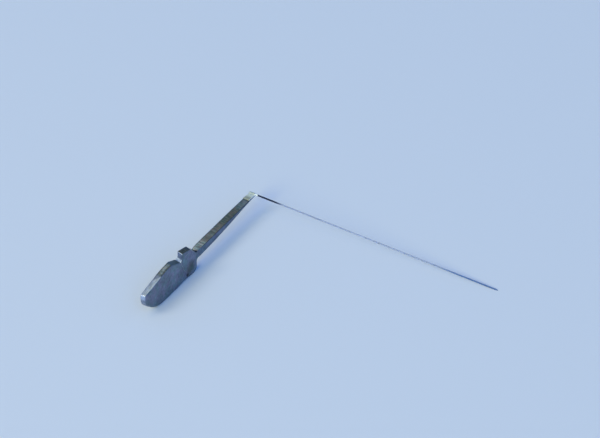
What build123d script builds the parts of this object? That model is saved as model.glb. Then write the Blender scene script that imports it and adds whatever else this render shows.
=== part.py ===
"""Scriber: a flat steel holder with a long fine needle soldered square across the tip of its arm.

The holder stands on its lower edge. While it is being built, x is measured from the holder's middle
plane, y from the grip's blunt end and z from the table. At the end everything is shifted so that the
origin is at the middle of the tool's footprint: +X square to the holder's side, the way the needle
points, +Y from the grip to the arm's tip, +Z up.
"""

import os
from math import atan, cos, degrees, radians

from build123d import *

# Driving dimensions, in millimetres and degrees. Pairs are (y, z) points of the side outline.
PLATE_THICKNESS = 2.9
GRIP_THICKNESS = 2.7
FILE_SKEW = 19.0

GRIP_END_TOP = (0.0, 11.4)
GRIP_CROWN = [(9.2, 13.2), (17.6, 14.45)]
GRIP_CROWN_END_HEIGHT = 13.9
GRIP_SLOPE_TOP = (20.6, 14.15)
GRIP_SHOULDER_RADIUS = 4.0
GRIP_HEEL = [(7.6, 1.45), (2.9, 4.3)]
GRIP_BELLY_Y = 18.4
GRIP_CORNER_ROUND = 0.9
GRIP_EDGE_ROUND = 0.3

SEAM_TOP = (26.2, 11.5)
SEAM_FOOT = (31.4, 0.55)
BRAZE_THICKNESS = 0.12
TONGUE_LENGTH = 5.5
TONGUE_HEIGHT = 4.0
TONGUE_THICKNESS = 1.0

NOTCH_WALL_Y = 27.4
NOTCH_FACET = 1.0

LUG_TOP_REAR = (27.4, 15.2)
LUG_TOP_FRONT = (33.6, 13.6)
LUG_SEAT_HEIGHT = 12.5
LUG_EDGE_BREAK = 0.12
SPIGOT_RADIUS = 0.8
SPIGOT_LENGTH = 3.0

HUB_BOTTOM_Y = 36.0
HUB_FRONT_Y = 38.8
HUB_CORNER_HEIGHT = 2.3
HUB_EDGE_ROUND = 0.25

ARM_CORNER = (38.2, 8.9)
ARM_TOP_HEIGHT = 9.4
ARM_TOP_START_Y = 38.9
ARM_TOP_END_Y = 78.8
ARM_END_Y = 83.0
ARM_TIP_TOP = 9.1
ARM_TIP_BOTTOM = 8.6
ARM_UNDERSIDE = [(71.9, 7.75), (62.0, 6.7)]
ARM_ROOT_START = (41.7, 5.46)
ARM_ROOT_TOP = 4.3
ARM_EDGE_BREAK = 0.12

NEEDLE_RADIUS = 0.25
NEEDLE_REACH = 110.2
NEEDLE_SKEW = 3.45
NEEDLE_FACE_Y = 83.35
NEEDLE_FACE_HEIGHT = 9.27
NEEDLE_TAIL_INSET = 0.1
POINT_LENGTH = 1.0
POINT_RADIUS = 0.12

SOLDER_START_Y = 78.3
SOLDER_FILM = 0.08
SOLDER_BEAD = 0.22
SOLDER_NOSE = (84.0, 9.2)
SOLDER_CHIN = (83.4, 8.7)
SOLDER_CONE_RADIUS = 0.52
SOLDER_CONE_LENGTH = 1.3

# Worked out from the driving dimensions
FACE_X = PLATE_THICKNESS / 2
NEEDLE_DROOP = degrees(atan((NEEDLE_FACE_HEIGHT - NEEDLE_RADIUS) / (NEEDLE_REACH - POINT_LENGTH)))
SLOPE_FALL = (GRIP_SLOPE_TOP[1] - SEAM_TOP[1]) / (SEAM_TOP[0] - GRIP_SLOPE_TOP[0])
SEAM_RUN = SEAM_FOOT[0] - SEAM_TOP[0]
SEAM_DROP = SEAM_TOP[1] - SEAM_FOOT[1]
SEAM_NORMAL = Vector(SEAM_DROP, SEAM_RUN).normalized()
LUG_FALL = (LUG_TOP_REAR[1] - LUG_TOP_FRONT[1]) / (LUG_TOP_FRONT[0] - LUG_TOP_REAR[0])
WELL_CLEAR = 12.0

ON_BASE = (Align.CENTER, Align.CENTER, Align.MIN)


def plate(outline, thickness):
    """A plate of the given thickness, centred on x = 0, from a closed outline of (y, z) curves."""
    return extrude(Plane.YZ.offset(-thickness / 2) * make_face(outline), amount=thickness)


def seam_point(height):
    """The point of the seam's line, or of its extension, at a height."""
    return Vector(SEAM_TOP[0] + (SEAM_TOP[1] - height) * SEAM_RUN / SEAM_DROP, height)


def lug_top_height(y):
    """Height, at y, of the stop's sloping top or of its extension."""
    return LUG_TOP_REAR[1] - (y - LUG_TOP_REAR[0]) * LUG_FALL


def skewed_prism(section):
    """A prism through the plate, square in section at the near face and run at the file's skew."""
    pivot = Pos(FACE_X, section[0][0], 0)
    return pivot * Rot(0, 0, -FILE_SKEW) * pivot.inverse() * plate(Polyline(*section, close=True), WELL_CLEAR)


def face_edges(solid, half_thickness, wanted):
    """The edges of both flat faces whose middle point passes a test."""
    on_face = [edge for edge in solid.edges() if abs(abs((edge @ 0.5).X) - half_thickness) < 0.01]
    return ShapeList([edge for edge in on_face if wanted(edge @ 0.5)])


def grip_blank_outline():
    """The paddle before its slope is filed: crowned top, leaning seam, long curved belly and blunt heel."""
    crown_end = seam_point(GRIP_CROWN_END_HEIGHT)
    belly = (GRIP_BELLY_Y, 0)
    return [
        Spline(GRIP_END_TOP, *GRIP_CROWN, crown_end, tangents=((1, 0.2), (1, -0.12))),
        Line(crown_end, SEAM_FOOT),
        Spline(SEAM_FOOT, belly, tangents=((-1, -0.08), (-1, 0))),
        Spline(belly, *GRIP_HEEL, GRIP_END_TOP, tangents=((-1, 0), (0.08, 1))),
    ]


def on_grip_rim(point):
    """True on the grip's outer edges, away from the seam."""
    return point.Y < seam_point(point.Z).X - 0.2


def make_tongue():
    """The grip's tenon, which runs square to the seam into the hub."""
    middle = (Vector(*SEAM_TOP) + Vector(*SEAM_FOOT)) / 2
    into_hub = (0, SEAM_NORMAL.X, SEAM_NORMAL.Y)
    plane = Plane(origin=(0, middle.X, middle.Y), x_dir=(1, 0, 0), z_dir=into_hub)
    return plane * Box(TONGUE_THICKNESS, TONGUE_HEIGHT, TONGUE_LENGTH + BRAZE_THICKNESS, align=ON_BASE)


def make_grip(tongue, notch):
    """The paddle with its filed slope and rounded edges, and its tongue."""
    paddle = plate(grip_blank_outline(), GRIP_THICKNESS) - notch
    end_edges = paddle.edges().filter_by(Axis.X).sort_by(Axis.Y)
    paddle = fillet(end_edges[0], GRIP_CORNER_ROUND)
    across = [edge for edge in paddle.edges() if abs((edge @ 0.5).X) < 0.1]
    shoulder_edge = ShapeList(across).sort_by(Axis.Z)[-1]
    paddle = fillet(shoulder_edge, GRIP_SHOULDER_RADIUS)
    return fillet(face_edges(paddle, GRIP_THICKNESS / 2, on_grip_rim), GRIP_EDGE_ROUND) + tongue


def make_braze(tongue, notch):
    """The film of filler metal between the grip and the hub, around the tongue."""
    film = Polyline(
        seam_point(GRIP_CROWN_END_HEIGHT),
        SEAM_FOOT,
        Vector(*SEAM_FOOT) + SEAM_NORMAL * BRAZE_THICKNESS,
        seam_point(GRIP_CROWN_END_HEIGHT) + SEAM_NORMAL * BRAZE_THICKNESS,
        close=True,
    )
    return plate(film, GRIP_THICKNESS) - tongue - notch


def blade_blank_outline():
    """Hub, stop and arm before the two sides of the stop are filed: flat arm top, tapering underside."""
    seam_foot = Vector(*SEAM_FOOT) + SEAM_NORMAL * BRAZE_THICKNESS
    uncut_y = ARM_TOP_START_Y - 2
    uncut_top = (uncut_y, lug_top_height(uncut_y))
    seam_end = seam_point(LUG_TOP_REAR[1]) + SEAM_NORMAL * BRAZE_THICKNESS
    uncut_rear = (seam_end.X, lug_top_height(seam_end.X))
    top_start = (ARM_TOP_START_Y, ARM_TOP_HEIGHT)
    top_end = (ARM_TOP_END_Y, ARM_TOP_HEIGHT)
    tip_top = (ARM_END_Y, ARM_TIP_TOP)
    tip_bottom = (ARM_END_Y, ARM_TIP_BOTTOM)
    root_top = (HUB_FRONT_Y, ARM_ROOT_TOP)
    corner_top = (HUB_FRONT_Y - 0.1, HUB_CORNER_HEIGHT)
    hub_bottom = (HUB_BOTTOM_Y, 0)
    return [
        Line(seam_foot, seam_end),
        Line(seam_end, uncut_rear),
        Line(uncut_rear, uncut_top),
        Line(uncut_top, top_start),
        Line(top_start, top_end),
        Line(top_end, tip_top),
        Line(tip_top, tip_bottom),
        Spline(tip_bottom, *ARM_UNDERSIDE, ARM_ROOT_START, tangents=((-1, -0.02), (-1, -0.03))),
        Spline(ARM_ROOT_START, root_top, tangents=((-1, -0.03), (-0.05, -1))),
        Line(root_top, corner_top),
        Spline(corner_top, hub_bottom, tangents=((-0.03, -1), (-1, 0))),
        Spline(hub_bottom, seam_foot, tangents=((-1, 0), (-1, 0.12))),
    ]


def notch_cutter():
    """What the file took away behind the stop: a long slope, a 45 degree facet and the stop's wall."""
    facet_foot_y = NOTCH_WALL_Y - NOTCH_FACET
    facet_foot_z = SEAM_TOP[1] - (facet_foot_y - SEAM_TOP[0]) * SLOPE_FALL
    return skewed_prism(
        [
            (NOTCH_WALL_Y, facet_foot_z + NOTCH_FACET),
            (facet_foot_y, facet_foot_z),
            (facet_foot_y - WELL_CLEAR, facet_foot_z + WELL_CLEAR * SLOPE_FALL),
            (NOTCH_WALL_Y, facet_foot_z + WELL_CLEAR),
        ]
    )


def root_cutter():
    """What the file took away ahead of the stop: the stop's sloping front and a small vee at the arm's root."""
    slope = (LUG_TOP_FRONT[0] - ARM_CORNER[0], LUG_TOP_FRONT[1] - ARM_CORNER[1])
    return skewed_prism(
        [
            ARM_CORNER,
            (ARM_CORNER[0] + slope[0] * 2, ARM_CORNER[1] + slope[1] * 2),
            (ARM_CORNER[0] + slope[1] * 2, ARM_CORNER[1] + slope[1] * 2),
        ]
    )


def on_arm_underside(point):
    """True on the hub's lower corner and all along the arm's lower edges."""
    return point.Y > SEAM_FOOT[0] + 0.3 and point.Z < ARM_TIP_BOTTOM - 0.1


def on_arm_top(point):
    """True on the arm's long upper edges and around its tip."""
    return point.Y > ARM_TOP_START_Y + 2 and point.Z > ARM_TIP_BOTTOM


def make_spigot():
    """The lug's round spigot, which goes down into the hub."""
    middle_y = (LUG_TOP_REAR[0] + LUG_TOP_FRONT[0]) / 2
    top = Pos(0, middle_y, LUG_SEAT_HEIGHT - SPIGOT_LENGTH)
    return top * Cylinder(SPIGOT_RADIUS, SPIGOT_LENGTH, align=ON_BASE)


def make_lug(blade, above_seat, spigot):
    """The part of the stop above its seat, with its edges broken, on its spigot."""
    block = blade & above_seat
    upper = [edge for edge in block.edges() if edge.bounding_box().max.Z > LUG_SEAT_HEIGHT + 0.01]
    return chamfer(ShapeList(upper), LUG_EDGE_BREAK) + spigot


def make_arm(blade, removed):
    """Hub and tapered arm, less the lug's seat, the tongue's socket and the needle's groove."""
    arm = blade
    for tool in removed:
        arm = arm - tool
    arm = fillet(face_edges(arm, FACE_X, on_arm_underside), HUB_EDGE_ROUND)
    return fillet(face_edges(arm, FACE_X, on_arm_top), ARM_EDGE_BREAK)


def needle_plane():
    """The plane at the needle's hidden tail, looking along the needle."""
    direction = Vector(1, 0, 0).rotate(Axis.Y, NEEDLE_DROOP).rotate(Axis.Z, NEEDLE_SKEW)
    on_face = Vector(FACE_X, NEEDLE_FACE_Y, NEEDLE_FACE_HEIGHT)
    tail = on_face - direction * (PLATE_THICKNESS - NEEDLE_TAIL_INSET)
    return Plane(origin=tail, x_dir=(0, 1, 0), z_dir=direction)


def make_needle():
    """Straight wire from the arm's tip down to the table, with a short blunt point."""
    length = NEEDLE_REACH / cos(radians(NEEDLE_DROOP)) + PLATE_THICKNESS - NEEDLE_TAIL_INSET
    shaft = Cylinder(NEEDLE_RADIUS, length - POINT_LENGTH, align=ON_BASE)
    point = Cone(NEEDLE_RADIUS, POINT_RADIUS, POINT_LENGTH, align=ON_BASE)
    return needle_plane() * (shaft + Pos(0, 0, length - POINT_LENGTH) * point)


def make_solder(arm, needle):
    """Film on the arm's last few millimetres, a bead around the needle and a cone at its root."""
    tip_fall = (ARM_TOP_HEIGHT - ARM_TIP_TOP) / (ARM_END_Y - ARM_TOP_END_Y)
    film_end_y = ARM_END_Y - 1
    film_start = (SOLDER_START_Y, ARM_TOP_HEIGHT + SOLDER_FILM)
    film_end = (film_end_y, ARM_TOP_HEIGHT + SOLDER_FILM - (film_end_y - ARM_TOP_END_Y) * tip_fall)
    bead_top = (NEEDLE_FACE_Y - 0.1, NEEDLE_FACE_HEIGHT + NEEDLE_RADIUS + SOLDER_BEAD)
    lip = (ARM_END_Y - 0.1, ARM_TIP_BOTTOM + 0.1)
    inside_arm = (SOLDER_START_Y, ARM_TIP_TOP)
    section = [
        Line(inside_arm, film_start),
        Spline(film_start, film_end, tangents=((1, 0), (1, -0.05))),
        Spline(film_end, bead_top, SOLDER_NOSE, SOLDER_CHIN, lip, tangents=((1, -0.05), (-1, 0.1))),
        Line(lip, inside_arm),
    ]
    overlap = 0.4
    cone_start = Pos(0, 0, PLATE_THICKNESS - NEEDLE_TAIL_INSET - overlap)
    cone = Cone(SOLDER_CONE_RADIUS, NEEDLE_RADIUS + 0.03, SOLDER_CONE_LENGTH + overlap, align=ON_BASE)
    return plate(section, PLATE_THICKNESS) + needle_plane() * cone_start * cone - arm - needle


def make_pieces():
    """All pieces by name, in the building coordinates."""
    tongue = make_tongue()
    spigot = make_spigot()
    needle = make_needle()
    notch = notch_cutter()
    blade = plate(blade_blank_outline(), PLATE_THICKNESS) - notch - root_cutter()
    seat = Pos(0, LUG_TOP_FRONT[0], LUG_SEAT_HEIGHT)
    above_seat = seat * Box(WELL_CLEAR, 2 * WELL_CLEAR, WELL_CLEAR, align=ON_BASE)
    arm = make_arm(blade, [above_seat, tongue, spigot, needle])
    return {
        "grip": make_grip(tongue, notch),
        "grip_braze": make_braze(tongue, notch),
        "arm": arm,
        "stop_lug": make_lug(blade, above_seat, spigot),
        "tip_solder": make_solder(arm, needle),
        "needle": needle,
    }


pieces = make_pieces()
extent = Compound(children=[Compound(piece.solids()) for piece in pieces.values()]).bounding_box()
to_origin = Pos(-extent.center().X, -extent.center().Y, -extent.min.Z)
os.makedirs("parts", exist_ok=True)
for name, piece in pieces.items():
    export_step(to_origin * piece, f"parts/{name}.step")
print("the holder's middle plane, the grip's end and the table are at", to_origin.position)
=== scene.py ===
"""Looks for the scriber: a dark flat steel holder with a long fine needle soldered across its tip.

Row frame, in metres: +X the way the needle points, +Y from the grip to the arm's tip, +Z up from the table.
Shapes and materials are described in the tool's own millimetres: side (x) from the holder's middle plane,
along (y) from the grip's blunt end and up (z) from the table. A pair of places is where a change starts and
where it ends.
"""

import math

import bmesh
import bpy
import numpy as np
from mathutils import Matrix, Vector, kdtree


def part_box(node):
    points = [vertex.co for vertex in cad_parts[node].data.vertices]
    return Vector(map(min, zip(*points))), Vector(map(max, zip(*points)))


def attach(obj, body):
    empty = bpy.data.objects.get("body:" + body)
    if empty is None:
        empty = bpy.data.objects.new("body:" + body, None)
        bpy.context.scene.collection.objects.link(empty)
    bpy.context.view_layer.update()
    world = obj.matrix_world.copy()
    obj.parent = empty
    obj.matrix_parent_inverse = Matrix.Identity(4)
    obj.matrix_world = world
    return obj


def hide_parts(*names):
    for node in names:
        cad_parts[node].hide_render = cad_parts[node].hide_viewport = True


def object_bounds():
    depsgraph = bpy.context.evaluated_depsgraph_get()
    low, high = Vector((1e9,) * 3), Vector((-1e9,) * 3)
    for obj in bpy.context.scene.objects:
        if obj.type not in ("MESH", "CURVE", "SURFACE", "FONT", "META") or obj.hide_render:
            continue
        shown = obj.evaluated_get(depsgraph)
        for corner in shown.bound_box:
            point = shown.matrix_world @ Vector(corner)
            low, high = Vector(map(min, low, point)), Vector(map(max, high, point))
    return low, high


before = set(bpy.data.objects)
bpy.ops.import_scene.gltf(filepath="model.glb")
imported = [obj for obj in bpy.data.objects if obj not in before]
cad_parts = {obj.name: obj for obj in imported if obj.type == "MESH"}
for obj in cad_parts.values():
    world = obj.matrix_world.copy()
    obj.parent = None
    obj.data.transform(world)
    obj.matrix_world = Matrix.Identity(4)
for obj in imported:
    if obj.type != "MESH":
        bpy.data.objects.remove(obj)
cad_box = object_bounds()

MM = 0.001
SCENE = bpy.context.scene

arm_low, arm_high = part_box("arm")
TOOL_ORIGIN = Vector(((arm_low.x + arm_high.x) / 2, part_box("grip")[0].y, cad_box[0].z))
SIDE, ALONG, UP = 0, 1, 2

# The leaning seam between grip and hub, as (along, up), how wide a strip beside it doesn't count as rim, and
# how far from the middle plane the tongue and its socket may reach.
SEAM_TOP, SEAM_FOOT = (26.2, 11.5), (31.4, 0.55)
SEAM_HALF_WIDTH = 0.6
JOINT_HALF_WIDTH = 0.95

# How much higher than its front edge an upper edge stands at the back, how far the blunt end reaches, and how
# much of its heel has been worn away.
BACK_RISE = 0.42
BLUNT_END_REACH = (1.5, 5.0)
HEEL_WEAR = 0.6

# The needle: its size, and the places along it, measured from the holder's middle plane.
NEEDLE_RADIUS, NEEDLE_ROOT_EXTRA, NEEDLE_TIP_RADIUS = 0.275, 0.07, 0.14
NEEDLE_TAIL_COVER = 0.03
NEEDLE_SIDES, NEEDLE_RINGS = 20, 520
NEEDLE_UNEVENNESS = 0.02
POINT_LENGTH = 1.0
POINT_STEPS = np.array([0.25, 0.5, 0.75, 1.0])
END_FACE_DEPTH = 0.05
SOLDERED_TAIL_END = (1.7, 2.0)
THICK_ROOT_START, THICK_ROOT_END = (1.8, 2.6), (9.0, 15.0)
DARK_ROOT_END = (10.0, 15.5)
SHADOWED_END_START = (79.0, 95.0)

# ------------------------------------------------------------------ camera, light and floor

VIEW_AZIMUTH = math.radians(31.55)
VIEW_ELEVATION = math.radians(37.0)
FRAME_WIDTH = 0.240
CAMERA_DISTANCE = 4.0
NEAR_CLIP, FAR_CLIP = 0.1, 30
SENSOR = 36.0
AIM_RIGHT, AIM_UP = -0.0077, 0.02796

FLOOR_HALF = 6.0
FLOOR_GREY, FLOOR_ROUGHNESS, FLOOR_SPECULAR = (0.75, 0.75, 0.75, 1), 0.9, 0.1
ROOM_BLUE = (0.188, 0.408, 1.0, 1)
ROOM_STRENGTH = 0.575


def stage_camera():
    """A long lens at the photograph's viewing angle."""
    back = Vector(
        (
            math.sin(VIEW_AZIMUTH) * math.cos(VIEW_ELEVATION),
            -math.cos(VIEW_AZIMUTH) * math.cos(VIEW_ELEVATION),
            math.sin(VIEW_ELEVATION),
        )
    )
    right = Vector((math.cos(VIEW_AZIMUTH), math.sin(VIEW_AZIMUTH), 0))
    up = back.cross(right)
    target = (cad_box[0] + cad_box[1]) / 2 + right * AIM_RIGHT + up * AIM_UP
    data = bpy.data.cameras.new("camera")
    data.sensor_width = SENSOR
    data.lens = SENSOR * CAMERA_DISTANCE / FRAME_WIDTH
    data.clip_start, data.clip_end = NEAR_CLIP, FAR_CLIP
    camera = bpy.data.objects.new("camera", data)
    camera.location = target + back * CAMERA_DISTANCE
    camera.rotation_mode = "QUATERNION"
    camera.rotation_quaternion = back.to_track_quat("Z", "Y")
    SCENE.collection.objects.link(camera)
    SCENE.camera = camera


def soft_light(name, azimuth, elevation, distance, size, power, colour):
    """A round area light that looks at the tool; azimuth is where it stands, from +X towards +Y."""
    data = bpy.data.lights.new(name, "AREA")
    data.shape = "DISK"
    data.size = size
    data.energy = power
    data.color = colour
    light = bpy.data.objects.new(name, data)
    a, e = math.radians(azimuth), math.radians(elevation)
    towards = Vector((math.cos(a) * math.cos(e), math.sin(a) * math.cos(e), math.sin(e)))
    light.location = towards * distance
    light.rotation_mode = "QUATERNION"
    light.rotation_quaternion = towards.to_track_quat("Z", "Y")
    SCENE.collection.objects.link(light)


def stage_light():
    """Two windows and a high warm lamp on the left, a wide blue window behind the camera, blue room light."""
    SCENE.view_settings.view_transform = "Standard"
    soft_light("window", -120, 42, distance=4.0, size=1.6, power=43.3, colour=(0.985, 1.0, 0.91))
    soft_light("low window", -90, 28, distance=10.0, size=4.0, power=512, colour=(1.0, 0.978, 0.31))
    soft_light("sky window", -58, 37, distance=10.0, size=9.0, power=446, colour=(0.15, 0.40, 1.0))
    soft_light("ceiling lamp", -128, 66, distance=4.0, size=1.6, power=13.9, colour=(1.0, 0.83, 0.27))
    world = bpy.data.worlds.new("room")
    SCENE.world = world
    world.use_nodes = True
    background = world.node_tree.nodes["Background"]
    background.inputs["Color"].default_value = ROOM_BLUE
    background.inputs["Strength"].default_value = ROOM_STRENGTH


def stage_floor():
    """A plain pale sheet, large enough for every view."""
    mesh = bpy.data.meshes.new("floor")
    z = cad_box[0].z
    corners = [(-1, -1), (1, -1), (1, 1), (-1, 1)]
    mesh.from_pydata([(x * FLOOR_HALF, y * FLOOR_HALF, z) for x, y in corners], [], [(0, 1, 2, 3)])
    floor = bpy.data.objects.new("floor", mesh)
    SCENE.collection.objects.link(floor)
    material = bpy.data.materials.new("floor paper")
    material.use_nodes = True
    shader = material.node_tree.nodes["Principled BSDF"]
    shader.inputs["Base Color"].default_value = FLOOR_GREY
    shader.inputs["Roughness"].default_value = FLOOR_ROUGHNESS
    shader.inputs["Specular IOR Level"].default_value = FLOOR_SPECULAR
    mesh.materials.append(material)


# ------------------------------------------------------------------ shapes


def lattice_noise(points, size, seed):
    """Smooth noise from -1 to 1 at each point; size is the distance between its lattice points."""
    rng = np.random.default_rng(seed)
    count = 32
    values = rng.uniform(-1, 1, (count, count, count))
    keep_positive = 1000.0
    scaled = points / size + keep_positive
    low = np.floor(scaled).astype(int)
    part = scaled - low
    part = part * part * (3 - 2 * part)
    total = np.zeros(len(points))
    for corner in range(8):
        step = np.array([corner & 1, corner >> 1 & 1, corner >> 2 & 1])
        weight = np.prod(np.where(step, part, 1 - part), axis=1)
        i, j, k = ((low + step) % count).T
        total += weight * values[i, j, k]
    return total


def smoothstep(value, start, end):
    """0 before start, 1 after end and a smooth rise between them."""
    t = np.clip((value - start) / (end - start), 0, 1)
    return t * t * (3 - 2 * t)


def between(value, rise, fall):
    """1 from the end of the rise to the start of the fall, and 0 beyond both."""
    return smoothstep(value, *rise) * (1 - smoothstep(value, *fall))


def seam_distance(points):
    """How far each point is from the leaning seam between grip and hub, positive on the hub's side."""
    run, drop = SEAM_FOOT[0] - SEAM_TOP[0], SEAM_TOP[1] - SEAM_FOOT[1]
    beyond = (points[:, ALONG] - SEAM_TOP[0]) * drop + (points[:, UP] - SEAM_TOP[1]) * run
    return beyond / math.hypot(run, drop)


class Shape:
    """A fine even mesh made from a CAD node, held as numbers in the tool's millimetres."""

    def __init__(self, node, voxel, smoothing):
        source = bmesh.new()
        source.from_mesh(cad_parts[node].data)
        bmesh.ops.remove_doubles(source, verts=source.verts, dist=1e-7)
        for vertex in source.verts:
            vertex.co = (vertex.co - TOOL_ORIGIN) / MM
        start = bpy.data.meshes.new(node + " welded")
        source.to_mesh(start)
        source.free()
        carrier = bpy.data.objects.new(node + " carrier", start)
        SCENE.collection.objects.link(carrier)
        remesh = carrier.modifiers.new("remesh", "REMESH")
        remesh.mode = "VOXEL"
        remesh.voxel_size = voxel
        smooth = carrier.modifiers.new("smooth", "SMOOTH")
        smooth.factor = 0.5
        smooth.iterations = smoothing
        evaluated = carrier.evaluated_get(bpy.context.evaluated_depsgraph_get())
        self.mesh = bpy.data.meshes.new_from_object(evaluated)
        bpy.data.objects.remove(carrier)
        bpy.data.meshes.remove(start)
        self.node = node
        self.points = self.read(self.mesh.vertices, "co")
        self.measure()

    @classmethod
    def from_mesh(cls, node, mesh, points):
        """A shape whose mesh has been made already."""
        shape = cls.__new__(cls)
        shape.node, shape.mesh, shape.points = node, mesh, points
        return shape

    @staticmethod
    def read(items, name):
        """A vector of each item, as rows of numbers."""
        numbers = np.zeros(len(items) * 3)
        items.foreach_get(name, numbers)
        return numbers.reshape(-1, 3)

    def measure(self):
        """Writes the points to the mesh and reads its normals."""
        self.mesh.vertices.foreach_set("co", self.points.ravel())
        self.mesh.update()
        self.normals = self.read(self.mesh.vertex_normals, "vector")

    def push(self, distance):
        """Moves every point along its normal."""
        self.points = self.points + self.normals * distance[:, None]

    def relax(self, weight, rounds):
        """Moves every point towards the mean of its neighbours, by its weight."""
        edges = np.zeros(len(self.mesh.edges) * 2, dtype=np.int32)
        self.mesh.edges.foreach_get("vertices", edges)
        a, b = edges.reshape(-1, 2).T
        count = np.bincount(edges, minlength=len(self.points))
        for _ in range(rounds):
            total = [
                np.bincount(a, self.points[b, axis], len(self.points))
                + np.bincount(b, self.points[a, axis], len(self.points))
                for axis in (SIDE, ALONG, UP)
            ]
            mean = np.stack(total, axis=1) / count[:, None]
            self.points = self.points + (mean - self.points) * weight[:, None]
        self.measure()

    def rim_distance(self):
        """How far each point is from the plate's outer rim, without the seam's side and the joints inside."""
        on_rim = (np.abs(self.normals[:, SIDE]) < 0.5) & (np.abs(self.points[:, SIDE]) > JOINT_HALF_WIDTH)
        on_rim &= np.abs(seam_distance(self.points)) > SEAM_HALF_WIDTH
        rim = self.points[on_rim]
        tree = kdtree.KDTree(len(rim))
        for index, point in enumerate(rim):
            tree.insert((0, point[ALONG], point[UP]), index)
        tree.balance()
        return np.array([tree.find((0, p[ALONG], p[UP]))[2] for p in self.points])

    def finish(self, name, material, slot, rim=None):
        """Makes the object, inside the CAD box, and puts it in its node's place."""
        low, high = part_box(self.node)
        row = self.points * MM + np.array(TOOL_ORIGIN)
        row = np.clip(row, np.array(low), np.array(high))
        self.mesh.vertices.foreach_set("co", row.ravel())
        self.mesh.update()
        self.mesh.shade_smooth()
        if rim is not None:
            attribute = self.mesh.attributes.new("rim", "FLOAT", "POINT")
            attribute.data.foreach_set("value", rim)
        self.mesh.materials.clear()
        self.mesh.materials.append(material)
        piece = bpy.data.objects.new(name, self.mesh)
        SCENE.collection.objects.link(piece)
        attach(piece, "root")
        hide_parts(self.node)


def round_over(distance, radius):
    """How deep a rounded edge has fallen, as a part of its radius, at a distance from the rim."""
    inside = np.clip(1 - distance / radius, 0, 1)
    return 1 - np.sqrt(1 - inside * inside)


def soften_plate(shape, radius, depth):
    """Rounds both faces over towards the rim, with each point's radius and depth, and evens the rim out."""
    far = shape.rim_distance()
    on_face = smoothstep(np.abs(shape.normals[:, SIDE]), 0.3, 0.8)
    fall = round_over(far, radius) * depth * on_face
    shape.points[:, SIDE] -= np.sign(shape.normals[:, SIDE]) * fall
    shape.measure()
    near_rim = 1 - smoothstep(far, 0.5, 1.2)
    shape.relax(weight=0.6 * near_rim, rounds=4)
    return far


def closeness(distance, reach):
    """1 on the rim and 0 at the reach from it, for the rim attribute that materials read."""
    return np.clip(1 - distance / reach, 0, 1)


def roughen(shape, seed, *waves):
    """Pushes the surface in and out in smooth waves; each is given by its size and its depth."""
    for step, (size, depth) in enumerate(waves):
        shape.push(lattice_noise(shape.points, size, seed + step) * depth)


def raise_back_edge(shape, height):
    """Tilts the upper edge's surface: it stays in place at the front face and rises at the back face."""
    half = np.abs(shape.points[:, SIDE]).max()
    towards_back = np.clip((half - shape.points[:, SIDE]) / (2 * half), 0, 1)
    on_top = smoothstep(shape.normals[:, UP], 0.1, 0.6)
    shape.points[:, UP] += height * towards_back * on_top
    shape.measure()


def arm_top_rise(along):
    """How far the upper back edge of the arm, and of the solder on it, stands above the front edge."""
    whole_arm, outer_part = between(along, (39.2, 42), (81.5, 83)), smoothstep(along, 66, 78)
    return BACK_RISE * whole_arm * (1 - 0.5 * outer_part)


def make_grip(material):
    """The paddle: a slope to the notch that rises at the back, a worn-back heel, and a rounder rim low down.
    """
    shape = Shape("grip", voxel=0.11, smoothing=4)
    along, up = shape.points[:, ALONG], shape.points[:, UP]
    slope = between(along, (18.5, 21.0), (25.5, 27.2))
    raise_back_edge(shape, BACK_RISE * slope)
    heel = between(up, (1.2, 2.8), (3.0, 6.0)) * (1 - smoothstep(along, *BLUNT_END_REACH))
    shape.points[:, ALONG] += HEEL_WEAR * heel
    shape.measure()
    low_rim = 1 - smoothstep(up, 5, 9)
    blunt_end = (1 - smoothstep(along, *BLUNT_END_REACH)) * smoothstep(up, 0.3, 2.5)
    radius = 0.45 + 0.6 * low_rim + 0.8 * blunt_end
    depth = 0.16 + 0.22 * low_rim + 0.3 * blunt_end
    far = soften_plate(shape, radius, depth)
    roughen(shape, 11, (4.0, 0.035), (1.3, 0.014), (0.45, 0.007))
    shape.finish("grip_paddle", material, "grip_steel", closeness(far, 0.7))


def make_arm(material):
    """The hub and the arm: the hub's foot is well rounded, and the arm's lower edge a little."""
    shape = Shape("arm", voxel=0.11, smoothing=3)
    along, up = shape.points[:, ALONG], shape.points[:, UP]
    raise_back_edge(shape, arm_top_rise(along))
    hub_foot = (1 - smoothstep(up, 4.5, 8)) * (1 - smoothstep(along, 39, 42))
    low_edge = smoothstep(along, 40, 44) * (1 - smoothstep(up, 8.7, 9.1))
    radius = 0.25 + 1.15 * hub_foot + 0.2 * low_edge
    depth = 0.08 + 0.5 * hub_foot + 0.1 * low_edge
    far = soften_plate(shape, radius, depth)
    roughen(shape, 21, (5.0, 0.03), (1.3, 0.012), (0.45, 0.006))
    shape.finish("hub_and_arm", material, "arm_steel", closeness(far, 0.6))


def make_lug(material):
    """The squared block, with slightly uneven faces."""
    shape = Shape("stop_lug", voxel=0.07, smoothing=3)
    roughen(shape, 31, (1.6, 0.02), (0.5, 0.008))
    shape.finish("stop_block", material, "lug_steel")


def make_solder(material):
    """The lumpy tinned sleeve, which follows the arm's upper edge."""
    shape = Shape("tip_solder", voxel=0.05, smoothing=4)
    raise_back_edge(shape, arm_top_rise(shape.points[:, ALONG]))
    roughen(shape, 41, (0.9, 0.03), (0.4, 0.01))
    shape.finish("tinned_tip", material, "soft_solder")


def needle_ends():
    """The middles of the CAD needle's end faces, in the tool's millimetres."""
    cad = (Shape.read(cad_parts["needle"].data.vertices, "co") - np.array(TOOL_ORIGIN)) / MM
    side = cad[:, SIDE]
    near = cad[side < side.min() + END_FACE_DEPTH].mean(axis=0)
    far = cad[side > side.max() - END_FACE_DEPTH].mean(axis=0)
    return near, far


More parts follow.
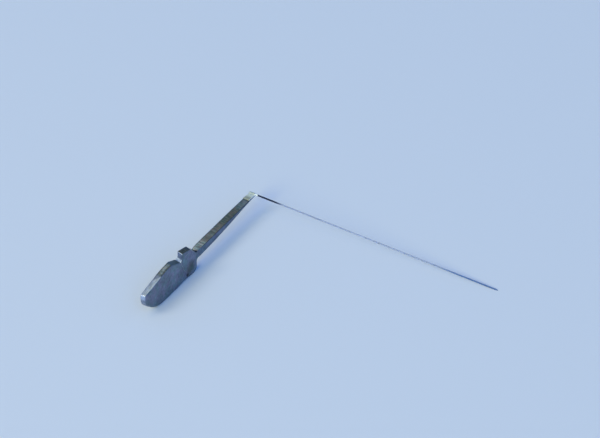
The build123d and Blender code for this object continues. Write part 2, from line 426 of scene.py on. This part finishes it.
def needle_faces(rings):
    """The faces of a tube with that many rings of points, closed at both ends."""
    faces = []
    for ring in range(rings - 1):
        for side in range(NEEDLE_SIDES):
            a, b = ring * NEEDLE_SIDES + side, ring * NEEDLE_SIDES + (side + 1) % NEEDLE_SIDES
            faces.append((a, b, b + NEEDLE_SIDES, a + NEEDLE_SIDES))
    last = (rings - 1) * NEEDLE_SIDES
    faces.append(tuple(reversed(range(NEEDLE_SIDES))))
    faces.append(tuple(range(last, last + NEEDLE_SIDES)))
    return faces


def make_needle(material):
    """A drawn wire on the CAD needle's own axis, slightly uneven, thicker at its root, with a blunt point."""
    near, far = needle_ends()
    axis = (far - near) / np.linalg.norm(far - near)
    near = near + axis * NEEDLE_TAIL_COVER
    length = np.linalg.norm(far - near)
    straight = length - POINT_LENGTH
    across = np.cross(axis, (0, 0, 1))
    across /= np.linalg.norm(across)
    over = np.cross(across, axis)
    rings = np.append(np.linspace(0, straight, NEEDLE_RINGS), straight + POINT_STEPS * POINT_LENGTH)
    radius = np.interp(rings, (0, straight, length), (NEEDLE_RADIUS, NEEDLE_RADIUS, NEEDLE_TIP_RADIUS))
    side = near[SIDE] + rings * axis[SIDE]
    radius += NEEDLE_ROOT_EXTRA * between(side, THICK_ROOT_START, THICK_ROOT_END)
    turn = np.linspace(0, 2 * np.pi, NEEDLE_SIDES, endpoint=False)
    circle = np.cos(turn)[:, None] * across + np.sin(turn)[:, None] * over
    centre = near + rings[:, None, None] * axis
    points = (centre + radius[:, None, None] * circle).reshape(-1, 3)
    thinner = 1 - NEEDLE_UNEVENNESS * (1 + lattice_noise(points, size=1.7, seed=51)) / 2
    centres = np.repeat(centre[:, 0], NEEDLE_SIDES, axis=0)
    points = centres + (points - centres) * thinner[:, None]
    mesh = bpy.data.meshes.new("needle wire")
    mesh.from_pydata(points.tolist(), [], needle_faces(len(rings)))
    Shape.from_mesh("needle", mesh, points).finish("needle_wire", material, "needle_wire")


# ------------------------------------------------------------------ colours

# A name with two colours is for a pattern, or a change across the piece, that goes from one to the other.
PURPLE_AND_TEAL_TINT = (1.11, 0.95, 1.04), (0.88, 1.06, 0.97)

# The grip's foot colour is painted shade: low down the faces reflect the shadowed table.
GRIP_FOOT_SHADE, GRIP_FACE = (0.135, 0.175, 0.225), (0.178, 0.214, 0.272)
# A painted highlight on the grip's top, painted shade towards its back, and the highlight at half strength.
GRIP_TOP_HIGHLIGHT = (0.626, 0.589, 0.454), (0.980, 0.902, 0.698)
HIGHLIGHT_FALLOFF = (0.66, 0.69, 0.84), (1.08, 1.06, 1.06)
HALF_HIGHLIGHT = (0.50, 0.50, 0.60)
BROWN_EDGE = (0.220, 0.210, 0.158)
BROWN_BANDS = (0.484, 0.440, 0.327), (0.660, 0.590, 0.441)
BROWN_TINT = (1.16, 1.0, 0.80), (0.9, 1.03, 1.0)
# Painted dark reflection of the lug on the slope down into the notch.
SLOPE = (0.145, 0.184, 0.167)
END_FACE = (0.370, 0.448, 0.640), (0.560, 0.649, 0.870)
# Painted reflection of the floor on the grip's rounded low rim.
RIM_REFLECTION = (0.23, 0.28, 0.36)

HUB_FACE, ARM_FACE = (0.168, 0.210, 0.270), (0.127, 0.167, 0.237)
# Painted shade: a broad spot low on the hub and a small one in the hollow at the seam's foot.
HUB_SHADE, SEAM_FOOT_SHADE = (0.094, 0.124, 0.112), (0.03, 0.035, 0.05)
ARM_TOP_ROOT = (0.420, 0.345, 0.245), (0.820, 0.690, 0.490)
ARM_TOP_MIDDLE = (0.271, 0.207, 0.138), (0.407, 0.320, 0.221)
ARM_TOP_DARK = (0.198, 0.170, 0.108), (0.300, 0.250, 0.164)
ARM_TOP_END = (0.240, 0.237, 0.195), (0.340, 0.328, 0.270)
OLIVE_TINT = (1.14, 1.0, 0.86), (0.88, 1.05, 0.92)
ARM_BACK_EDGE = (0.158, 0.179, 0.163)
# A painted reflection of the sky on the notch's bright facet.
NOTCH_FACET_REFLECTION = (0.428, 0.474, 0.521), (0.621, 0.680, 0.707)
NOTCH_CORNER = (0.15, 0.18, 0.25)
# Painted shade in the corner where the arm's top meets the hub.
VALLEY = (0.10, 0.11, 0.11), (0.03, 0.04, 0.055)
# Painted shade on the rounded lower rims.
NAVY_SHADE = (0.36, 0.39, 0.37)

LUG_WALL = (0.092, 0.125, 0.213), (0.188, 0.236, 0.38)
# A painted highlight along the wall's top corner.
LUG_CORNER_HIGHLIGHT = (0.75, 0.80, 0.88)
# The lug's top is brown, painted darker as shade because it tilts away from the light.
LUG_TOP_SHADED = (0.080, 0.075, 0.043), (0.150, 0.141, 0.085)
LUG_TOP_BACK, LUG_TOP_FRONT = (0.045, 0.055, 0.072), (0.060, 0.075, 0.085)
LUG_FACE = (0.170, 0.200, 0.248)

SOLDER_FOOT = (0.46, 0.44, 0.285), (0.60, 0.56, 0.38)
SOLDER_MIDDLE = (0.84, 0.82, 0.60), (0.99, 0.97, 0.72)
SOLDER_END = (0.50, 0.53, 0.44)
# The bead is pale tin with a painted highlight.
SOLDER_BEAD = (0.80, 0.82, 0.78)
BRAZE = (0.10, 0.12, 0.15), (0.16, 0.18, 0.22)

WIRE = (0.26, 0.31, 0.48), (0.34, 0.39, 0.57)
DARK_ROOT_WIRE = (0.010, 0.018, 0.045)
# Painted shadow where the wire's end nears the table.
WIRE_END_SHADOW = (0.09, 0.165, 0.37)
SOLDERED_TAIL = (0.70, 0.72, 0.68)

# ------------------------------------------------------------------ materials

FILE_SKEW = math.radians(19.0)


class Look:
    """A principled material whose patterns are laid out in the tool's millimetres."""

    def __init__(self, name, metallic, specular=0.5):
        self.material = bpy.data.materials.new(name)
        self.material.use_nodes = True
        self.nodes = self.material.node_tree.nodes
        self.links = self.material.node_tree.links
        self.shader = self.nodes["Principled BSDF"]
        self.shader.inputs["Metallic"].default_value = metallic
        self.shader.inputs["Specular IOR Level"].default_value = specular
        place = self.nodes.new("ShaderNodeTexCoord")
        mapping = self.nodes.new("ShaderNodeMapping")
        mapping.inputs["Scale"].default_value = (1 / MM,) * 3
        mapping.inputs["Location"].default_value = [-v / MM for v in TOOL_ORIGIN]
        self.links.new(place.outputs["Object"], mapping.inputs["Vector"])
        self.place = mapping.outputs["Vector"]
        self.side, self.along, self.up = self.add("ShaderNodeSeparateXYZ", Vector=self.place).outputs
        facing = self.add("ShaderNodeSeparateXYZ", Vector=place.outputs["Normal"]).outputs
        self.on_top = self.rise(facing[UP], 0.45, 0.8)
        self.on_wall = self.rise(self.math("MULTIPLY", facing[ALONG], -1.0), 0.35, 0.75)
        self.on_side = self.rise(self.math("ABSOLUTE", facing[SIDE]), 0.5, 0.8)

    def add(self, kind, **inputs):
        """A new node, with its inputs set to numbers or linked to other nodes' outputs."""
        node = self.nodes.new(kind)
        for name, value in inputs.items():
            self.feed(node.inputs[name], value)
        return node

    def feed(self, socket, value):
        """Links a socket to another one, or sets it to a number or a colour."""
        if isinstance(value, bpy.types.NodeSocket):
            self.links.new(value, socket)
        else:
            socket.default_value = value

    def math(self, operation, a, b=0.0):
        """The named operation on two numbers, or on the first one alone."""
        node = self.nodes.new("ShaderNodeMath")
        node.operation = operation
        self.feed(node.inputs[0], a)
        self.feed(node.inputs[1], b)
        return node.outputs[0]

    def times(self, *values):
        """The values' product."""
        total = values[0]
        for value in values[1:]:
            total = self.math("MULTIPLY", total, value)
        return total

    def rise(self, value, start, end, low=0.0, high=1.0):
        """low before start, high after end, smooth between them."""
        node = self.nodes.new("ShaderNodeMapRange")
        node.interpolation_type = "SMOOTHSTEP"
        settings = (value, start, end, low, high)
        for socket, number in zip(node.inputs, settings):
            self.feed(socket, number)
        return node.outputs["Result"]

    def fall(self, value, start, end):
        """1 before start, 0 after end, smooth between them."""
        return self.rise(value, start, end, 1, 0)

    def band(self, value, start, end, soft):
        """1 between start and end, 0 outside."""
        upwards = self.rise(value, start - soft, start + soft)
        return self.times(upwards, self.fall(value, end - soft, end + soft))

    def noise(self, size, detail=3.0, stretch=(1, 1, 1), turn=(0, 0, 0), shift=0.0):
        """Noise from about 0.25 to 0.75, in blobs of size millimetres, times the stretch along each axis."""
        mapping = self.nodes.new("ShaderNodeMapping")
        mapping.inputs["Rotation"].default_value = turn
        mapping.inputs["Scale"].default_value = [1 / (size * s) for s in stretch]
        mapping.inputs["Location"].default_value = (shift, shift * 0.7, shift * 1.3)
        self.links.new(self.place, mapping.inputs["Vector"])
        place = mapping.outputs["Vector"]
        node = self.add("ShaderNodeTexNoise", Vector=place, Scale=1.0, Detail=detail, Roughness=0.55)
        return node.outputs["Fac"]

    def mix(self, factor, a, b):
        """Colour a where the factor is 0, and b where it is 1."""
        node = self.nodes.new("ShaderNodeMix")
        node.data_type = "RGBA"
        self.feed(node.inputs["Factor"], factor)
        self.feed(node.inputs["A"], (*a, 1) if isinstance(a, tuple) else a)
        self.feed(node.inputs["B"], (*b, 1) if isinstance(b, tuple) else b)
        return node.outputs["Result"]

    def patches(self, colours, size, start=0.35, end=0.65, detail=3.0, **layout):
        """Soft patches of two colours."""
        return self.mix(self.rise(self.noise(size, detail, **layout), start, end), *colours)

    def product(self, colour, factor):
        """The colour times another colour or times a number."""
        node = self.nodes.new("ShaderNodeVectorMath")
        single = isinstance(factor, (float, bpy.types.NodeSocketFloat))
        node.operation = "SCALE" if single else "MULTIPLY"
        self.feed(node.inputs["Vector"], colour)
        self.feed(node.inputs["Scale" if single else 1], factor)
        return node.outputs["Vector"]

    def vary(self, colour, pattern, low, high, start=0.3, end=0.7):
        """The colour made darker and lighter by a pattern."""
        return self.product(colour, self.rise(pattern, start, end, low, high))

    def spot(self, along, up, radius, soft):
        """1 inside an upright round spot on the plate's side, 0 outside."""
        da = self.math("SUBTRACT", self.along, along)
        du = self.math("SUBTRACT", self.up, up)
        far = self.math("SQRT", self.math("ADD", self.times(da, da), self.times(du, du)))
        return self.fall(far, radius - soft, radius + soft)

    def rim(self):
        """How near a point is to the plate's rim: 1 on it and 0 well inside."""
        node = self.nodes.new("ShaderNodeAttribute")
        node.attribute_name = "rim"
        return node.outputs["Fac"]

    def bump(self, height, distance):
        """A normal for a relief that is distance millimetres deep."""
        return self.add("ShaderNodeBump", Height=height, Distance=distance * MM).outputs["Normal"]

    def done(self, colour, roughness, normal):
        """The material, with its shader's inputs filled in."""
        self.feed(self.shader.inputs["Base Color"], colour)
        self.feed(self.shader.inputs["Roughness"], roughness)
        self.feed(self.shader.inputs["Normal"], normal)
        return self.material


def mottled(look, colour):
    """Old filed steel: purple and teal oxide tints, broad light and dark, small patches and pits."""
    colour = look.product(colour, look.patches(PURPLE_AND_TEAL_TINT, 2.4, 0.38, 0.62, shift=21))
    colour = look.vary(colour, look.noise(5.0, 4, shift=3), 0.80, 1.20)
    colour = look.vary(colour, look.noise(1.1, 3, shift=9), 0.86, 1.14)
    return look.vary(colour, look.noise(0.35, 2, shift=13), 1.0, 0.72, 0.6, 0.74)


def file_bands(look, size, shift):
    """Fine bands that cross the plate's edge at the file's skew."""
    return look.rise(look.noise(size, 2, stretch=(9, 1, 9), turn=(0, 0, FILE_SKEW), shift=shift), 0.35, 0.65)


def scratched(look, colour, turn, shift):
    """The material of a filed plate: uneven gloss and long fine scratches."""
    scratches = look.noise(0.25, 3, stretch=(1, 9, 1), turn=turn, shift=shift)
    roughness = look.rise(look.noise(1.2, 3, shift=2), 0.3, 0.7, 0.38, 0.55)
    return look.done(colour, roughness, look.bump(scratches, 0.012))


def grip_top(look):
    """The crowned top: a painted highlight in a wedge, half as bright beside it, then brown, then a painted
    dark reflection on the slope to the notch.
    """
    # Painted highlight in a wedge at the top of the blunt end, darker towards the back, at half strength
    # beside the wedge.
    highlit_top = look.patches(GRIP_TOP_HIGHLIGHT, 0.5, stretch=(1, 12, 1), turn=(0, 0, 0.12), shift=5)
    half_highlit = look.product(highlit_top, HALF_HIGHLIGHT)
    highlit_top = look.product(highlit_top, look.mix(look.rise(look.side, -1.2, 0.6), *HIGHLIGHT_FALLOFF))
    core = look.band(look.side, -0.75, 0.6, soft=0.4)
    brown = look.mix(core, BROWN_EDGE, look.mix(file_bands(look, size=0.7, shift=8), *BROWN_BANDS))
    brown = look.vary(brown, look.noise(1.2, 3, shift=18), 0.62, 1.28)
    brown = look.product(brown, look.patches(BROWN_TINT, 0.9, 0.4, 0.6, shift=44))
    brown = look.vary(brown, look.noise(0.6, 2, shift=27), 0.78, 1.22)
    darker_at_back = look.rise(look.side, -1.3, -0.8, 0.62, 1.03)
    darker_at_start = look.rise(look.along, 12.0, 14.5, 0.65, 0.92)
    brown = look.product(look.product(brown, darker_at_back), darker_at_start)
    leaning = look.math("SUBTRACT", look.along, look.times(look.side, 1.5))
    past_wedge = look.rise(leaning, 9.3, 11.1)
    past_highlight = look.rise(look.along, 11.2, 12.6)
    # The slope into the notch gets a painted dark reflection of the lug.
    on_slope = look.rise(look.along, 19.0, 20.6)
    top = look.mix(past_highlight, look.mix(past_wedge, highlit_top, half_highlit), brown)
    return look.mix(on_slope, top, SLOPE)


def grip_end_face(look):
    """The blunt end's upright face: brightest at its top, where a highlight is painted, and darker at the
    back.
    """
    lighter_foot = look.rise(look.up, 1.5, 3.2, 0.65, 0.46)
    # Painted highlight: the top of the face is made almost twice as bright.
    end_top_highlight = look.rise(look.up, 8.4, 10.2, 1.05, 1.95)
    towards_front = look.rise(look.side, -1.2, -0.7)
    face = look.product(look.product(look.patches(END_FACE, 1.0, shift=4), lighter_foot), end_top_highlight)
    return look.mix(towards_front, look.product(face, 0.55), face)


def grip_look():
    """Dark mottled faces with painted shade low down, a brown top with a painted highlight, a pale blunt end
    and a painted reflection of the floor on the rim beside it.
    """
    look = Look("grip steel", metallic=0.75)
    # Painted shade: the faces are darker near the foot.
    above_foot = look.rise(look.up, 1.5, 5.0)
    face = mottled(look, look.mix(above_foot, GRIP_FOOT_SHADE, GRIP_FACE))
    colour = look.mix(look.on_top, face, grip_top(look))
    colour = look.mix(look.on_wall, colour, grip_end_face(look))
    # A painted reflection of the floor along the rim low at the front of the blunt end.
    lower_end = look.times(look.fall(look.along, 2.5, 5.0), look.band(look.up, 1.2, 6.2, soft=0.9))
    front_rim = look.times(look.rise(look.rim(), 0.1, 0.5), look.rise(look.side, 0.3, 0.9))
    colour = look.mix(look.times(lower_end, front_rim), colour, RIM_REFLECTION)
    return scratched(look, colour, turn=(0.3, 0, 0), shift=5)


def arm_top(look):
    """The arm's top: crossed by file marks, bright at its root, darkest past its middle and at its back."""
    bands = file_bands(look, size=0.8, shift=2)
    top = look.mix(bands, *ARM_TOP_ROOT)
    zones = (43.5, 47.0, ARM_TOP_MIDDLE), (53.0, 60.0, ARM_TOP_DARK), (69.0, 74.0, ARM_TOP_END)
    for start, end, colours in zones:
        top = look.mix(look.rise(look.along, start, end), top, look.mix(bands, *colours))
    top = look.vary(top, look.noise(1.6, 3, shift=31), 0.80, 1.20)
    top = look.product(top, look.patches(OLIVE_TINT, 1.3, 0.38, 0.62, shift=41))
    at_back = look.fall(look.side, -1.35, -0.75)
    return look.mix(at_back, top, ARM_BACK_EDGE)


def arm_look():
    """Dark mottled faces with two spots of painted shade, a filed top, a painted reflection on the notch's
    bright facet, and painted shade in the valley and on the navy lower rims.
    """
    look = Look("arm steel", metallic=0.75)
    on_arm = look.rise(look.along, 37.0, 42.0)
    # Painted shade: low on the hub, where it reflects the shadowed table, and in the hollow at the seam's
    # foot.
    hub_shade_spot = look.times(look.spot(along=33.7, up=4.6, radius=2.7, soft=1.5), 0.85)
    seam_foot_shade_spot = look.spot(along=31.3, up=2.0, radius=0.85, soft=0.5)
    face = look.mix(hub_shade_spot, look.mix(on_arm, HUB_FACE, ARM_FACE), HUB_SHADE)
    face = mottled(look, look.mix(seam_foot_shade_spot, face, SEAM_FOOT_SHADE))

    at_corner = look.rise(look.up, 12.02, 12.22)
    past_facet = look.rise(look.along, 28.0, 29.5)
    facet_wall = look.times(look.on_wall, look.fall(look.along, 29.0, 30.0))
    # The facet's bright patches are a painted reflection.
    facet = look.mix(at_corner, look.patches(NOTCH_FACET_REFLECTION, 0.6, 0.4, 0.6, detail=2, shift=6), NOTCH_CORNER)
    colour = look.mix(look.on_top, face, look.mix(past_facet, facet, arm_top(look)))
    colour = look.mix(facet_wall, colour, facet)

    # Painted shade in the corner where the arm's top meets the hub.
    in_valley = look.times(look.band(look.along, 37.4, 39.0, soft=0.25), look.fall(look.on_side, 0, 1))
    colour = look.mix(in_valley, colour, look.mix(look.rise(look.side, -0.8, 0.6), *VALLEY))

    # Painted shade on the rounded lower rims of hub and arm.
    low_edge = look.math("MAXIMUM", look.fall(look.up, 6.8, 8.0), look.rise(look.along, 41.0, 44.0))
    low_rim_shade = look.times(look.rise(look.rim(), 0.05, 0.6), low_edge, look.fall(look.on_top, 0, 1))
    colour = look.mix(low_rim_shade, colour, look.product(colour, NAVY_SHADE))
    return scratched(look, colour, turn=(0, 0, 0), shift=6)


def lug_look():
    """A brown top darkened with painted shade, a blue-grey wall with a painted highlight on its corner, and a
    mottled face.
    """
    look = Look("stop steel", metallic=0.7)
    # Painted highlight on the wall's top corner, and painted shade on the top.
    at_corner = look.rise(look.up, 14.55, 14.85)
    at_back = look.fall(look.side, -1.25, -0.6)
    at_front = look.rise(look.along, 32.3, 33.2)
    wall = look.mix(at_corner, look.patches(LUG_WALL, 0.6, stretch=(1, 1, 3)), LUG_CORNER_HIGHLIGHT)
    top = look.mix(at_back, look.patches(LUG_TOP_SHADED, 1.0, shift=7), LUG_TOP_BACK)
    top = look.mix(at_front, top, LUG_TOP_FRONT)
    colour = look.mix(look.on_wall, mottled(look, LUG_FACE), wall)
    colour = look.mix(look.on_top, colour, top)
    return look.done(colour, roughness=0.5, normal=look.bump(look.noise(0.3, 3), 0.02))


def solder_look():
    """Pale tin: warmer at the arm, darker at the very end, and bright on the bead round the needle, where a
    highlight is painted.
    """
    look = Look("tin solder", metallic=0.45)
    past_foot = look.rise(look.along, 79.7, 81.7)
    at_end = look.rise(look.along, 82.0, 82.7)
    on_bead = look.rise(look.side, 1.0, 1.4)
    colour = look.mix(past_foot, look.patches(SOLDER_FOOT, 0.8), look.patches(SOLDER_MIDDLE, 0.8))
    colour = look.mix(at_end, colour, SOLDER_END)
    # Pale tin with a painted highlight on the bead round the needle.
    colour = look.mix(on_bead, colour, SOLDER_BEAD)
    roughness = look.rise(look.noise(0.7, 2, shift=6), 0.3, 0.7, 0.52, 0.66)
    return look.done(colour, roughness, look.bump(look.noise(0.4, 2), 0.02))


def braze_look():
    """A dull, dark filler film."""
    look = Look("braze film", metallic=0.8)
    colour = look.mix(look.noise(0.8, 3), *BRAZE)
    return look.done(colour, roughness=0.45, normal=look.bump(look.noise(0.4, 2), 0.02))


def needle_look():
    """Steel wire: soldered at its tail, nearly black at its root, then blue-grey, and darker at its end with
    painted shadow.
    """
    look = Look("needle wire", metallic=1.0, specular=0.1)
    tail = look.fall(look.side, *SOLDERED_TAIL_END)
    bare = look.rise(look.side, *DARK_ROOT_END)
    colour = look.mix(bare, DARK_ROOT_WIRE, look.patches(WIRE, 2.5, shift=3))
    # Painted shadow: the wire darkens towards its end, where its own shadow meets it on the table.
    colour = look.mix(look.rise(look.side, *SHADOWED_END_START), colour, WIRE_END_SHADOW)
    colour = look.mix(tail, colour, SOLDERED_TAIL)
    look.feed(look.shader.inputs["Metallic"], look.math("MAXIMUM", bare, tail))
    roughness = look.rise(look.noise(1.4, 2, shift=8), 0.3, 0.7, 0.46, 0.56)
    return look.done(colour, roughness, look.bump(look.noise(0.3, 2), 0.003))


stage_camera()
stage_light()
stage_floor()
make_grip(grip_look())
make_arm(arm_look())
make_lug(lug_look())
make_solder(solder_look())
make_needle(needle_look())

# The braze film keeps its CAD mesh.
braze_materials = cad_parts["grip_braze"].data.materials
braze_materials.clear()
braze_materials.append(braze_look())
